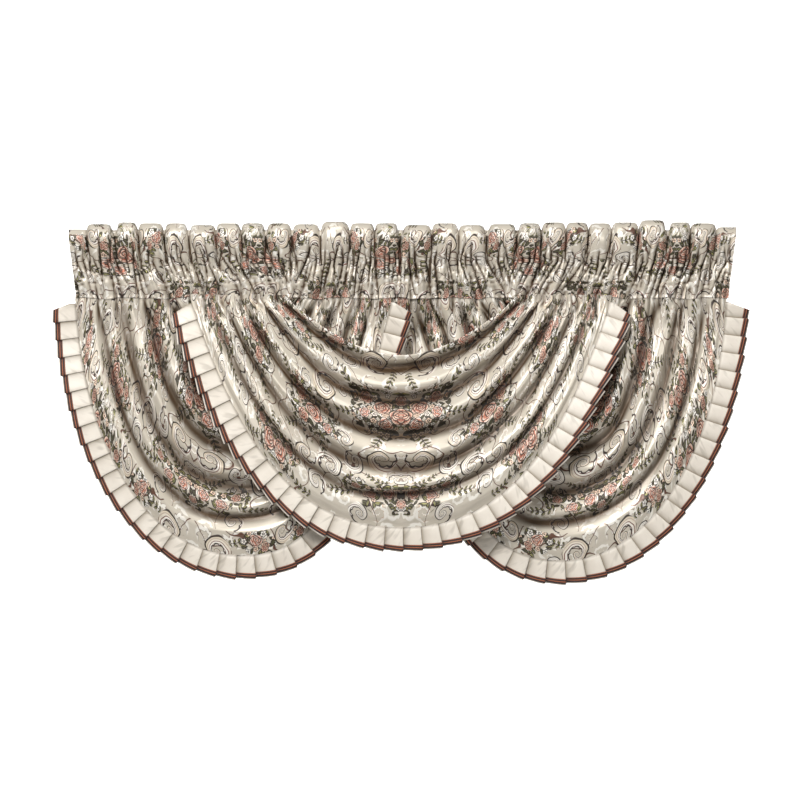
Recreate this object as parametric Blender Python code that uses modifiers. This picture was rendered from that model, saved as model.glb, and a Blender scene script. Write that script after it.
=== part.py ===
"""Swag valance with a gathered rod-pocket heading, three overlapping swags, knife-pleated frills and a
striped braid along each frill.

Row frame: metres, +Z up, +X to the viewer's right, the room side towards -Y. The origin is the middle of
the heading's top edge, in the plane of the rod pocket.
"""

import math

import bmesh
import bpy
import numpy as np

MM = 0.001

# Cloth and seams
CLOTH = 1.6 * MM  # face cloth with its interlining, as thick as it hangs
FRILL_CLOTH = 1.5 * MM
BRAID_CLOTH = 1.0 * MM
SEAM_GAP = 0.7 * MM  # between a swag's hem and the frill sewn to it
LAY_GAP = 0.3 * MM  # between sheets that lie on each other
LAP_OUT = 2.1 * MM  # between the middles of the heading and a swag that laps it

# Heading, measured down from its top edge
SEAM_DROP = 180 * MM  # the seam that the swags hang from
LAP = 8 * MM  # a swag's top edge laps the heading by this much
VALLEY_DROP = 23 * MM  # top of the cloth between two puffs
HEADING_TAPER = 0.025  # the share by which the heading narrows from its top to the seam
PUFF_SHOULDER = 0.2  # a puff reaches its full height this share of its width in from each side
END_FULLNESS = 0.1  # how full the heading's two ends are, against 1 for a puff

# Puffs of the heading, from left to right: left and right edge, and drop of the crown, in millimetres
PUFF_COLUMNS = ("left", "right", "drop")
PUFFS = [
    (-766, -727, 21), (-722, -669, 9), (-653, -610, 5), (-603, -550, 7), (-541, -495, 7),
    (-483, -430, 11), (-423, -373, 7), (-366, -317, 7), (-306, -255, 7), (-246, -191, 9),
    (-182, -122, 3), (-115, -64, 7), (-58, -9, 7), (9, 67, 11), (74, 129, 7),
    (136, 191, 11), (205, 262, 9), (274, 320, 7), (327, 377, 5), (382, 430, 5),
    (435, 483, 7), (488, 545, 5), (550, 607, 0), (621, 665, 5), (669, 725, 7), (731, 773, 16),
]

# Section of the heading, from the seam up the front, over the rod and down the back, in millimetres: drop
# below the top edge, place towards the room at a valley, what a puff adds, and what a gather adds. The line
# that closes the rod pocket is at 96.
SECTION_COLUMNS = ("drop", "front", "puff", "gather")
SECTION = [
    (180, 0.0, 0.0, 0.0), (169, 0.0, 0.0, 0.0), (132, 3.0, 1.0, 5.0), (96, 3.5, 0.5, 1.5),
    (78, 12.5, 10.0, 0.0), (45, 13.5, 16.0, 0.0), (14, 11.0, 10.0, 0.0), (0, 0.0, 0.0, 0.0),
    (14, -12.0, -4.0, 0.0), (50, -13.5, -6.0, 0.0), (83, -12.0, -3.0, 0.0), (96, -0.6, 0.0, 0.0),
]
CROWN_ROWS = (6, 7, 8)  # rows of the section that follow the crown's height

# Swags: centre line, and for each side the place of the neckline and the hem on the seam; the drop of the
# neckline and the hem below the seam; how far the hem's sides lean in; layer 1 hangs before the seam, and -1
# behind it. Millimetres.
SWAG_COLUMNS = (
    "name", "centre", "hem_left", "neck_left", "neck_right", "hem_right",
    "neck_drop", "hem_drop", "lean_left", "lean_right", "round_out", "layer",
)
SWAGS = [
    ("centre", 0, -485, -260, 260, 485, 123, 525, 110, 110, 253, 1),
    ("left", -363, -750, -440, -262, -18, 123, 592, 18, 92, 230, -1),
    ("right", 363, -22, 262, 440, 750, 123, 604, 92, 18, 230, -1),
]
NECK_LEAN, NECK_FALL, NECK_ROUND = 76 * MM, 62 * MM, 92 * MM
HEM_FALL = 320 * MM

# Folds of a swag, from the neckline (0) to the hem (1): where each ridge and the trough below it lie, and how
# far each stands out, as a share of the fold depth
FOLD_COLUMNS = ("ridge_at", "ridge", "trough_at", "trough")
FOLDS = [
    (0.000, 1.00, 0.110, 0.05), (0.175, 1.00, 0.300, 0.00), (0.370, 1.00, 0.490, 0.00),
    (0.560, 0.95, 0.675, 0.05), (0.745, 0.85, 0.830, 0.15), (0.885, 0.65, 1.000, 0.40),
]
FOLD_DEPTH_TOP, FOLD_DEPTH_MIDDLE = 17 * MM, 26 * MM
FOLD_SAG = 0.30  # a ridge hangs this share of its depth below its place
GROWTH = 0.10  # share of the half width over which the folds open out below the seam
NECK_ROLL, NECK_ROLL_BACK = 9 * MM, 11 * MM  # the neckline's edge turned back and down
LEAN = 30 * MM  # how far the drape stands out from the seam's plane lower down
LEAN_DROP = 330 * MM
BELLY_NECK, BELLY_HEM = 9 * MM, 26 * MM  # further stand-out of the middle of the front swag
PUSH_SEAM, PUSH_BACK = 4 * MM, 36 * MM  # the right swag's inner edge lies behind the left one and its frill
PUSH_FROM, PUSH_TO = 135 * MM, 30 * MM  # it moves back between these places right of the middle

# Frills and braid
FRILL_WIDTH = 50 * MM
PLEAT_PITCH = 39.5 * MM
PLEAT_OVERLAP = 3.0 * MM
OVERLAP_SHARE = PLEAT_OVERLAP / PLEAT_PITCH
PLEAT_RISE_SEWN, PLEAT_RISE_FREE = 2.4 * MM, 5.0 * MM
PLEAT_JUT = 4.5 * MM  # a pleat's folded end stands out beyond the next one's start
FRILL_START = 7 * MM  # the frill begins this far below the seam
END_SLANT = 0.42  # share of a pleat by which the frill's ends slant away from the seam
FLARE = 12 * MM  # the front frill's free edge comes forward at the sides
FLARE_FALL = 90 * MM  # the flare grows over this drop below the seam
BRAID_FROM, BRAID_TO = 37.0 * MM, 47.5 * MM  # across the frill, from its sewn edge
BRAID_SHARE = (BRAID_TO - BRAID_FROM) / (FRILL_WIDTH - BRAID_FROM)
BRAID_LIFT = FRILL_CLOTH / 2 + BRAID_CLOTH / 2 + LAY_GAP + 0.3 * MM  # between the middles of the two sheets
BRAID_OVER, BRAID_STEP = 1.7 * MM, 2.6 * MM  # past a folded end, the top and the foot of the braid's step
BRAID_INSET = 0.5 * MM  # from the frill's ends

LAP_SHARE = 0.02  # of a swag's half width, the part that lies flat on the seam
HEM_SAMPLES = 801  # points along a hem for measuring its length

CLOTH_COLOUR = (0.62, 0.55, 0.43, 1.0)
FRILL_COLOUR = (0.78, 0.74, 0.66, 1.0)
BRAID_COLOUR = (0.16, 0.05, 0.035, 1.0)


def clear_scene():
    for obj in list(bpy.data.objects):
        bpy.data.objects.remove(obj)


def new_material(name, colour, roughness):
    material = bpy.data.materials.new(name)
    material.use_nodes = True
    shader = material.node_tree.nodes["Principled BSDF"]
    shader.inputs["Base Color"].default_value = colour
    shader.inputs["Roughness"].default_value = roughness
    shader.inputs["Metallic"].default_value = 0.0
    return material


def rows_of(columns, table):
    """The table's rows as dictionaries keyed by column name."""
    return [dict(zip(columns, row)) for row in table]


def ease(x):
    """Smooth step from 0 to 1 as x goes from 0 to 1."""
    x = np.clip(x, 0.0, 1.0)
    return x * x * (3.0 - 2.0 * x)


def mix(a, b, share):
    return a + (b - a) * share


def fold_height(t):
    """How far the cloth stands out at t, 0 to 1, eased between each ridge and trough in turn."""
    knots, heights = [], []
    for fold in rows_of(FOLD_COLUMNS, FOLDS):
        knots += [fold["ridge_at"], fold["trough_at"]]
        heights += [fold["ridge"], fold["trough"]]
    knots, heights = np.array(knots), np.array(heights)
    i = np.clip(np.searchsorted(knots, t, side="right") - 1, 0, len(knots) - 2)
    share = ease((t - knots[i]) / (knots[i + 1] - knots[i]))
    return mix(heights[i], heights[i + 1], share)


def lean(drop):
    """How far the layer between the front and back swags stands out, drop metres below the seam."""
    return LEAN * ease(drop / LEAN_DROP)


def swag_points(swag, s, t):
    """Points of a swag's middle surface.

    s runs from -1 at the left of the seam, through 0 at the lowest line, to 1 at the right of the seam, and t
    from 0 at the neckline to 1 at the hem. Each line of equal t is two Bezier curves that meet at the centre
    line; the folds stand out across them.
    """
    s, t = np.broadcast_arrays(np.asarray(s, float), np.asarray(t, float))
    inner = np.clip(t, 0.0, 1.0)
    share = 1.0 - np.abs(s)
    left = s < 0
    neck = np.where(left, swag["neck_left"], swag["neck_right"]) * MM
    hem = np.where(left, swag["hem_left"], swag["hem_right"]) * MM
    centre = swag["centre"] * MM
    side = np.where(left, 1.0, -1.0)
    hem_lean = np.where(left, swag["lean_left"], swag["lean_right"]) * MM
    attach = mix(neck, hem, inner)
    drop = mix(swag["neck_drop"], swag["hem_drop"], inner) * MM
    run = np.clip((share - LAP_SHARE) / (1.0 - LAP_SHARE), 0.0, 1.0)
    weights = ((1 - run) ** 3, 3 * run * (1 - run) ** 2, 3 * run**2 * (1 - run), run**3)
    control_x = (
        attach,
        attach + side * mix(NECK_LEAN, hem_lean, inner),
        centre - side * mix(NECK_ROUND, swag["round_out"] * MM, inner),
        centre,
    )
    control_drop = (0.0, mix(NECK_FALL, HEM_FALL, inner), drop, drop)
    x = sum(w * c for w, c in zip(weights, control_x))
    below = sum(w * c for w, c in zip(weights, control_drop))
    below = below - LAP * np.clip(1.0 - share / LAP_SHARE, 0.0, 1.0)

    growth = ease((share - LAP_SHARE) / GROWTH)
    depth = growth * mix(FOLD_DEPTH_TOP, FOLD_DEPTH_MIDDLE, ease(run))
    height = fold_height(inner)
    rolled = np.clip(-t, 0.0, 1.0)
    below = below + growth * rolled * NECK_ROLL + FOLD_SAG * depth * (height - 0.5) * (run > 0)
    layer = swag["layer"]
    if layer > 0:
        out = LAP_OUT + depth * height + growth * ease(run) * mix(BELLY_NECK, BELLY_HEM, inner)
    else:
        out = -LAP_OUT - depth * (1.0 - height)
    out = out - growth * rolled * NECK_ROLL_BACK
    if swag["name"] == "right":
        out = out - mix(PUSH_SEAM, PUSH_BACK, growth) * ease((PUSH_FROM - x) / (PUSH_FROM - PUSH_TO))
    out = out + lean(below)
    return np.stack([x, -out, -SEAM_DROP - below], axis=-1)


def fold_stations():
    """Values of t at which a swag has a row of points: each ridge and trough and two places between."""
    stations = [-1.0]
    folds = rows_of(FOLD_COLUMNS, FOLDS)
    for fold, following in zip(folds, folds[1:] + [None]):
        stations += [fold["ridge_at"], mix(fold["ridge_at"], fold["trough_at"], 0.5), fold["trough_at"]]
        if following:
            stations.append(mix(fold["trough_at"], following["ridge_at"], 0.5))
    return np.array(stations)


def hem_stations(swag):
    """Where a swag's columns of points lie: the s of each, and the number of the pleat that begins there.

    The first two and the last two columns are the lapped top edge and the seam, with no pleat. Between them
    the columns divide the hem's length evenly, two pleats apart, with one more beside each end.
    """
    s = np.linspace(-1.0, 1.0, HEM_SAMPLES)
    steps = np.diff(swag_points(swag, s, 1.0)[:, [0, 2]], axis=0)
    arcs = np.concatenate([[0.0], np.cumsum(np.hypot(steps[:, 0], steps[:, 1]))])
    start, end = LAP + FRILL_START, arcs[-1] - LAP - FRILL_START
    count = 2 * round((end - start) / PLEAT_PITCH / 2)
    numbers = np.unique(np.concatenate([np.arange(0, count + 1, 2), [1, count - 1]]))
    inner = np.interp(start + numbers * (end - start) / count, arcs, s)
    seam = 1.0 - LAP_SHARE
    return np.concatenate([[-1.0, -seam], inner, [seam, 1.0]]), numbers


def grid_object(name, points, thickness, material, collection):
    """A sheet: a grid of points, given as an array of rows, made solid about its middle surface."""
    rows, columns = points.shape[:2]
    mesh = bpy.data.meshes.new(name)
    build = bmesh.new()
    bmesh.ops.create_grid(build, x_segments=columns - 1, y_segments=rows - 1, size=1.0)
    for vertex in build.verts:
        column = round((vertex.co.x + 1.0) / 2.0 * (columns - 1))
        row = round((vertex.co.y + 1.0) / 2.0 * (rows - 1))
        vertex.co = points[row, column]
    build.to_mesh(mesh)
    build.free()
    obj = bpy.data.objects.new(name, mesh)
    obj.data.materials.append(material)
    collection.objects.link(obj)
    solid = obj.modifiers.new("Thickness", "SOLIDIFY")
    solid.thickness = thickness
    solid.offset = 0.0
    mesh.shade_smooth()
    mesh.set_sharp_from_angle(angle=math.radians(50))
    return obj


def heading_points():
    """Points of the heading: a row for each place round the section, a column for each place along it."""
    puffs = rows_of(PUFF_COLUMNS, PUFFS)
    along, fullness, crown = [], [], []

    def station(x, full, drop):
        along.append(x * MM)
        fullness.append(full)
        crown.append(drop * MM)

    station(puffs[0]["left"], END_FULLNESS, VALLEY_DROP / MM)
    for puff, following in zip(puffs, puffs[1:] + [None]):
        width = puff["right"] - puff["left"]
        station(puff["left"] + PUFF_SHOULDER * width, 1.0, puff["drop"])
        station(puff["right"] - PUFF_SHOULDER * width, 1.0, puff["drop"])
        if following:
            station((puff["right"] + following["left"]) / 2, 0.0, VALLEY_DROP / MM)
    station(puffs[-1]["right"], END_FULLNESS, VALLEY_DROP / MM)
    along, fullness, crown = (np.array(a) for a in (along, fullness, crown))
    gathers = np.random.default_rng(7).uniform(-1.0, 1.0, len(along))

    points = []
    for i, row in enumerate(rows_of(SECTION_COLUMNS, SECTION)):
        drop = np.full(len(along), row["drop"] * MM)
        if i in CROWN_ROWS:
            drop = drop + crown
        front = (row["front"] + row["puff"] * fullness + row["gather"] * gathers) * MM
        narrowed = along * (1.0 - HEADING_TAPER * drop / SEAM_DROP)
        points.append(np.stack([narrowed, -front, -drop], axis=-1))
    return np.array(points)


def hem_line(swag):
    """The frill's plan: the pleat numbers of the hem's points, the points, and the way out from each."""
    stations, numbers = hem_stations(swag)
    points = swag_points(swag, stations, 1.0)
    tangent = np.gradient(points[:, [0, 2]], axis=0)
    tangent /= np.linalg.norm(tangent, axis=1)[:, None]
    outward = np.stack([tangent[:, 1], np.zeros(len(points)), -tangent[:, 0]], axis=-1)
    return numbers, points[2:-2], outward[2:-2]


def frill_point(swag, line, number, across, rise):
    """A point on a frill, at a place counted in pleats, across metres out from the hem, raised by rise."""
    numbers, points, outward = line
    base = np.array([np.interp(number, numbers, points[:, k]) for k in range(3)])
    out = np.array([np.interp(number, numbers, outward[:, k]) for k in range(3)])
    place = base + out * across
    drop_base, drop_place = -base[2] - SEAM_DROP, -place[2] - SEAM_DROP
    flare = 0.0
    if swag["layer"] > 0:
        flare = FLARE * abs(out[0]) ** 2 * ease(drop_base / FLARE_FALL) * across / FRILL_WIDTH
    place[1] -= rise + flare + lean(drop_place) - lean(drop_base)
    return place


def pleat_ends(swag, line, k, across):
    """The two points where pleat k begins and where it folds, across metres out from the hem."""
    share = across / FRILL_WIDTH
    begin, end = float(k), k + 1.0 + OVERLAP_SHARE
    if k == 0:
        begin = END_SLANT * share
    if k == line[0][-1] - 1:
        end = k + 1.0 - END_SLANT * share
    rise = mix(PLEAT_RISE_SEWN, PLEAT_RISE_FREE, share)
    return (
        frill_point(swag, line, begin, across, 0.0),
        frill_point(swag, line, end, across + share * PLEAT_JUT, rise),
    )


def frill_points(swag):
    """A frill's sheet: along each knife pleat it rises to the folded end, then turns back under it."""
    line = hem_line(swag)
    rows = []
    for across in (SEAM_GAP, BRAID_FROM, FRILL_WIDTH):
        rows.append([point for k in range(line[0][-1]) for point in pleat_ends(swag, line, k, across)])
    return np.array(rows)


def braid_points(swag):
    """The braid's sheet: it lies on each pleat's face and steps down past the pleat's folded end."""
    line = hem_line(swag)
    count = line[0][-1]
    columns = []
    for k in range(count):
        a, b = np.array(pleat_ends(swag, line, k, BRAID_FROM))
        edge_a, edge_b = np.array(pleat_ends(swag, line, k, FRILL_WIDTH))
        c, d = mix(a, edge_a, BRAID_SHARE), mix(b, edge_b, BRAID_SHARE)
        normal = np.cross(b - a, c - a)
        normal *= -np.sign(normal[1]) / np.linalg.norm(normal)
        length = np.linalg.norm(b - a)
        first = (PLEAT_OVERLAP + BRAID_STEP if k else BRAID_INSET) / length
        last = 1.0 + (BRAID_OVER if k < count - 1 else -BRAID_INSET) / length
        for share in (first, last):
            columns.append([mix(a, b, share) + normal * BRAID_LIFT, mix(c, d, share) + normal * BRAID_LIFT])
    return np.array(columns).transpose(1, 0, 2)


def build():
    clear_scene()
    valance = bpy.data.collections.new("Swag valance")
    bpy.context.scene.collection.children.link(valance)
    cloth = new_material("Figured cloth", CLOTH_COLOUR, 0.5)
    frill_cloth = new_material("Frill satin", FRILL_COLOUR, 0.55)
    braid = new_material("Striped braid", BRAID_COLOUR, 0.7)
    grid_object("heading", heading_points(), CLOTH, cloth, valance)
    t = fold_stations()[:, None]
    for swag in rows_of(SWAG_COLUMNS, SWAGS):
        name = swag["name"]
        s = hem_stations(swag)[0][None, :]
        grid_object(f"swag_{name}", swag_points(swag, s, t), CLOTH, cloth, valance)
        grid_object(f"frill_{name}", frill_points(swag), FRILL_CLOTH, frill_cloth, valance)
        grid_object(f"braid_{name}", braid_points(swag), BRAID_CLOTH, braid, valance)


build()
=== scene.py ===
"""The looks of a swag valance: a gathered rod-pocket heading, three draped swags, pleated frills and braid.

Everything is in metres in the frame of the solids: +Z up, +X to the viewer's right, the room towards -Y.
The cloth is drawn in its own flat sizes, so that the woven pattern folds with it.
"""

import math

import bpy
import numpy as np
from bpy.props import FloatProperty, FloatVectorProperty, PointerProperty
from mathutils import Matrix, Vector


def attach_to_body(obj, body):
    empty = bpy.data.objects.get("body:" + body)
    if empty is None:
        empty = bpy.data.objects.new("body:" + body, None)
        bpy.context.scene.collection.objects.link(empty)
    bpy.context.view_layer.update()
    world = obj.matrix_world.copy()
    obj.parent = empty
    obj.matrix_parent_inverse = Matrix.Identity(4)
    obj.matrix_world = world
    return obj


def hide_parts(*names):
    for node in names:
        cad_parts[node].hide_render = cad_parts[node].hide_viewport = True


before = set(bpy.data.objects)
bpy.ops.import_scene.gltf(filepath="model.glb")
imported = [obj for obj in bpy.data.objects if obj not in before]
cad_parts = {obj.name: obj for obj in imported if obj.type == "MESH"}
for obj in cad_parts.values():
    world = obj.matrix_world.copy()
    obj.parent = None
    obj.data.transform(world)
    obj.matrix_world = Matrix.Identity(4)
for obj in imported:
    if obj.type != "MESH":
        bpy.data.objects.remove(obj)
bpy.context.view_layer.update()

bl_info = {
    "name": "Swag valance",
    "version": (1, 0, 0),
    "blender": (4, 5, 0),
    "location": "3D View > Sidebar > Valance",
    "description": "Gathered heading, draped swags, pleated frills and braid with their woven finishes",
    "category": "Add Mesh",
}

MM = 0.001

# The construction, as the solids have it
SEAM_DROP = 180 * MM
LAP = 8 * MM
VALLEY_DROP = 23 * MM
HEADING_TAPER = 0.025
PUFF_COLUMNS = ("left", "right", "drop")
PUFFS = [
    (-766, -727, 21), (-722, -669, 9), (-653, -610, 5), (-603, -550, 7), (-541, -495, 7),
    (-483, -430, 11), (-423, -373, 7), (-366, -317, 7), (-306, -255, 7), (-246, -191, 9),
    (-182, -122, 3), (-115, -64, 7), (-58, -9, 7), (9, 67, 11), (74, 129, 7),
    (136, 191, 11), (205, 262, 9), (274, 320, 7), (327, 377, 5), (382, 430, 5),
    (435, 483, 7), (488, 545, 5), (550, 607, 0), (621, 665, 5), (669, 725, 7), (731, 773, 16),
]
SECTION_COLUMNS = ("drop", "front", "puff", "crown")
SECTION = [
    (180, 0.0, 0.0, 0), (169, 0.5, 0.0, 0), (146, 5.0, 1.5, 0), (122, 8.0, 3.5, 0), (100, 9.5, 6.5, 0),
    (80, 11.0, 11.0, 0), (62, 12.5, 15.0, 0), (40, 13.0, 17.0, 0), (14, 11.0, 11.0, 1), (0, 0.0, 0.0, 1),
    (14, -12.0, -4.0, 1), (50, -13.5, -6.0, 0), (83, -12.0, -3.0, 0), (96, -0.6, 0.0, 0),
]
CROWN_ROW = 8  # the section's last row on the front
SWAG_COLUMNS = (
    "name", "centre", "hem_left", "neck_left", "neck_right", "hem_right",
    "neck_drop", "hem_drop", "lean_left", "lean_right", "round_out", "layer",
)
SWAGS = [
    ("centre", 0, -485, -260, 260, 485, 123, 525, 110, 110, 253, 1),
    ("left", -363, -750, -440, -262, -18, 123, 592, 18, 92, 230, -1),
    ("right", 363, -22, 262, 440, 750, 123, 604, 92, 18, 230, -1),
]
NECK_LEAN, NECK_FALL, NECK_ROUND = 76 * MM, 62 * MM, 92 * MM
HEM_FALL = 320 * MM
FOLD_COLUMNS = ("ridge_at", "ridge", "trough_at", "trough")
FOLDS = [
    (0.000, 1.00, 0.110, 0.05), (0.175, 1.00, 0.300, 0.00), (0.370, 1.00, 0.490, 0.00),
    (0.560, 0.95, 0.675, 0.05), (0.745, 0.85, 0.830, 0.15), (0.885, 0.65, 1.000, 0.40),
]
LAP_OUT = 2.1 * MM
FOLD_DEPTH_TOP, FOLD_DEPTH_MIDDLE = 17 * MM, 26 * MM
FOLD_SAG = 0.30
FINE_SAG = 0.55  # the same for the fine cloth
FINE_DEPTH = 1.22  # the fine cloth's fold depth against the solids' depth
LAP_SHARE = 0.02
GROWTH = 0.10
LEAN, LEAN_DROP = 30 * MM, 330 * MM
BELLY_NECK, BELLY_HEM = 9 * MM, 26 * MM
PUSH_SEAM, PUSH_BACK = 4 * MM, 36 * MM
PUSH_FROM, PUSH_TO = 135 * MM, 30 * MM
SEAM_GAP = 0.7 * MM
FRILL_WIDTH = 50 * MM
PLEAT_PITCH = 39.5 * MM
PLEAT_OVERLAP = 3.0 * MM
PLEAT_JUT = 6.0 * MM
FRILL_START = 7 * MM
END_SLANT = 0.42
FLARE, FLARE_FALL = 12 * MM, 90 * MM
BRAID_FROM, BRAID_TO = 37.0 * MM, 47.5 * MM
HEM_SAMPLES = 801

# The cloths' flat sizes
# How far the woven figure sits off each swag's middle, and its place on the heading, along and down
FIGURE_SHIFT = {"centre": 0.0, "left": 0.12, "right": -0.10}
HEADING_FIGURE = (0.11, 0.17)

# The camera, at the photograph's angle
CAMERA_PLACE = (-0.0023, -6.0, -0.414)
VIEW_WIDTH = 1.84  # metres across the picture at the valance
SENSOR = 36.0

# The studio: a backdrop far enough back to walk round the valance, and square area lights, each with its
# name, place, target, size and the setting that holds its power
WORLD_STRENGTH = 0.07
WALL_PLACE, WALL_TOP, FLOOR_PLACE, FLOOR_FRONT = 8.0, 6.0, -3.4, -9.0
BACKDROP_HALF, BACKDROP_ROUND, PAPER_ROUGHNESS = 12.0, 1.0, 0.9
LIGHTS = [
    ("Key", (-1.7, -3.6, 2.1), (0.0, 0.0, -0.35), 1.5, "key_power"),
    ("Top", (0.1, -1.2, 2.5), (0.0, 0.0, -0.35), 1.2, "top_power"),
    ("Fill", (2.6, -3.4, 0.4), (0.0, 0.0, -0.4), 1.6, "fill_power"),
    ("Backdrop light left", (-3.8, 4.6, 0.6), (-1.0, 7.4, -0.4), 2.4, "backdrop_power"),
    ("Backdrop light right", (3.8, 4.6, 0.6), (1.0, 7.4, -0.4), 2.4, "backdrop_power"),
]


def rows_of(columns, table):
    """The table's rows as dictionaries keyed by column name."""
    return [dict(zip(columns, row)) for row in table]


def ease(x):
    """3x^2 - 2x^3 between 0 and 1, flat outside."""
    x = np.clip(x, 0.0, 1.0)
    return x * x * (3.0 - 2.0 * x)


def mix(a, b, share):
    """a where share is 0 and b where it is 1."""
    return a + (b - a) * share


def ripple(x, seed, octaves=3):
    """A smooth wandering line, about -1 to 1: sines of x with seeded phases, each 1.73 times shorter and 1.5
    times lower than the one before."""
    rng = np.random.default_rng(seed)
    total = 0.0
    for k in range(octaves):
        total = total + np.sin(2 * np.pi * (x * 1.73**k + rng.uniform())) / 1.5**k
    return total / 2.0


# The swags' shape

FINE_COLUMNS, FINE_ROWS = 241, 185  # points along and across a swag
SIDE_DENSER = 1.35  # power by which a swag's columns crowd towards the seam
CREASE_SWAY = 0.012  # how far across the swag a small fold wanders
CREASE_START, CREASE_END = 0.06, 0.22  # shares of the half width over which it rises and dies away
SEAM_GATHERS, SEAM_GATHER_HEIGHT, SEAM_GATHER_REACH = 17, 1.6 * MM, 0.30
RUMPLE = 1.1 * MM  # height of the slow unevenness all over a swag
FOLD_SWAY = 0.010  # how far across the swag a main fold wanders
ROLL_DOWN, ROLL_BACK = 9 * MM, 11 * MM  # how far the neckline's edge is turned down and back
GATHER_LENGTH, GATHER_HEIGHT = 2.4 * MM, 2.2 * MM  # the gathers at the seam
# How much painted shade each depth of fold puts on a swag: reach in rows and columns, depth in metres, and
# share
SWAG_PAINTED_SHADE = [(2, 1, 1.2 * MM, 0.40), (9, 2, 6.0 * MM, 0.75)]
RIDGE_PAINTED_SHADE_CUT = -0.4  # the most that a ridge takes off the painted shade of the fold that it stands in

# Small folds of a swag: where across it (0 neckline, 1 hem), from which share of the half width to which,
# how high in millimetres and how wide as a share of the swag's height
CREASE_COLUMNS = ("at", "from_share", "to_share", "height", "width")
CREASES = [
    (0.045, 0.00, 0.55, 3.5, 0.020), (0.140, 0.02, 0.45, 4.0, 0.018), (0.235, 0.00, 0.62, 4.5, 0.022),
    (0.330, 0.02, 0.38, 4.0, 0.016), (0.430, 0.00, 0.70, 4.5, 0.022), (0.520, 0.02, 0.42, 3.5, 0.018),
    (0.620, 0.00, 0.60, 4.0, 0.020), (0.705, 0.02, 0.50, 3.5, 0.018), (0.790, 0.00, 0.66, 3.5, 0.018),
    (0.860, 0.02, 0.40, 2.5, 0.014), (0.940, 0.00, 0.75, 3.0, 0.020),
]


def fold_height(t):
    """How far the cloth stands out at t, 0 to 1: from ridge to trough to ridge, along 3x^2 - 2x^3."""
    knots, heights = [], []
    for fold in rows_of(FOLD_COLUMNS, FOLDS):
        knots += [fold["ridge_at"], fold["trough_at"]]
        heights += [fold["ridge"], fold["trough"]]
    knots, heights = np.array(knots), np.array(heights)
    i = np.clip(np.searchsorted(knots, t, side="right") - 1, 0, len(knots) - 2)
    return mix(heights[i], heights[i + 1], ease((t - knots[i]) / (knots[i + 1] - knots[i])))


def seam_heights(x):
    """Height of the folds at the seam, 0 to 1, at each x: those of the swag that hangs there, smoothed."""
    height = np.full(x.shape, 0.4)
    for swag in reversed(rows_of(SWAG_COLUMNS, SWAGS)):
        for hem, neck in (("hem_left", "neck_left"), ("hem_right", "neck_right")):
            t = (x / MM - swag[neck]) / (swag[hem] - swag[neck])
            height = np.where((t >= 0) & (t <= 1), fold_height(np.clip(t, 0.0, 1.0)), height)
    kernel = np.exp(-(np.linspace(-2.5, 2.5, 31) ** 2))
    return np.convolve(height, kernel / kernel.sum(), mode="same")


SEAM_X = np.linspace(-0.85, 0.85, 3401)
SEAM_HEIGHTS = seam_heights(SEAM_X)
SEAM_DEPTH = 16 * MM


def seam_wave(x):
    """How far every layer stands out at the seam: the folds, and gathers sin(x / length) that wander."""
    gathers = np.sin(x / GATHER_LENGTH + 2.5 * ripple(x * 7.0, 31)) * (0.6 + 0.4 * ripple(x * 11.0, 32))
    return SEAM_DEPTH * (np.interp(x, SEAM_X, SEAM_HEIGHTS) - 0.5) + GATHER_HEIGHT * gathers


def lean(drop):
    """How far the layer between the front and back swags stands out, drop metres below the seam."""
    return LEAN * ease(drop / LEAN_DROP)


def small_folds(swag, s, t, run):
    """Height of a swag's small folds: bumps exp(-((t - at) / width)^2) that fade in and out along the drape,
    gathers sin(2 pi 17 t) that die away from the seam, and a slow unevenness."""
    seed = {"centre": 1, "left": 2, "right": 3}[swag["name"]]
    key = np.abs(s) if swag["layer"] > 0 else s
    total = np.zeros(np.broadcast(s, t).shape)
    for k, crease in enumerate(rows_of(CREASE_COLUMNS, CREASES)):
        at = crease["at"] + CREASE_SWAY * ripple(key * 0.9, 10 * seed + k)
        start = crease["from_share"]
        end = crease["to_share"] * (1.0 + 0.35 * ripple(key * 0.5, 50 * seed + k))
        fade = ease((run - start) / CREASE_START) * ease((end - run) / CREASE_END)
        total = total + crease["height"] * MM * fade * np.exp(-(((t - at) / crease["width"]) ** 2))
    gathers = np.sin(2 * np.pi * (SEAM_GATHERS * t + 0.5 * ripple(key * 2.0 + 3 * t, 90 + seed)))
    total = total + SEAM_GATHER_HEIGHT * gathers * ease(run / 0.03) * ease(1.0 - run / SEAM_GATHER_REACH)
    uneven = ripple(key * 3.1 + 2.3 * t, 70 + seed) * ripple(t * 6.0, 80 + seed)
    return total + RUMPLE * uneven * ease(run / 0.1)


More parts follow.
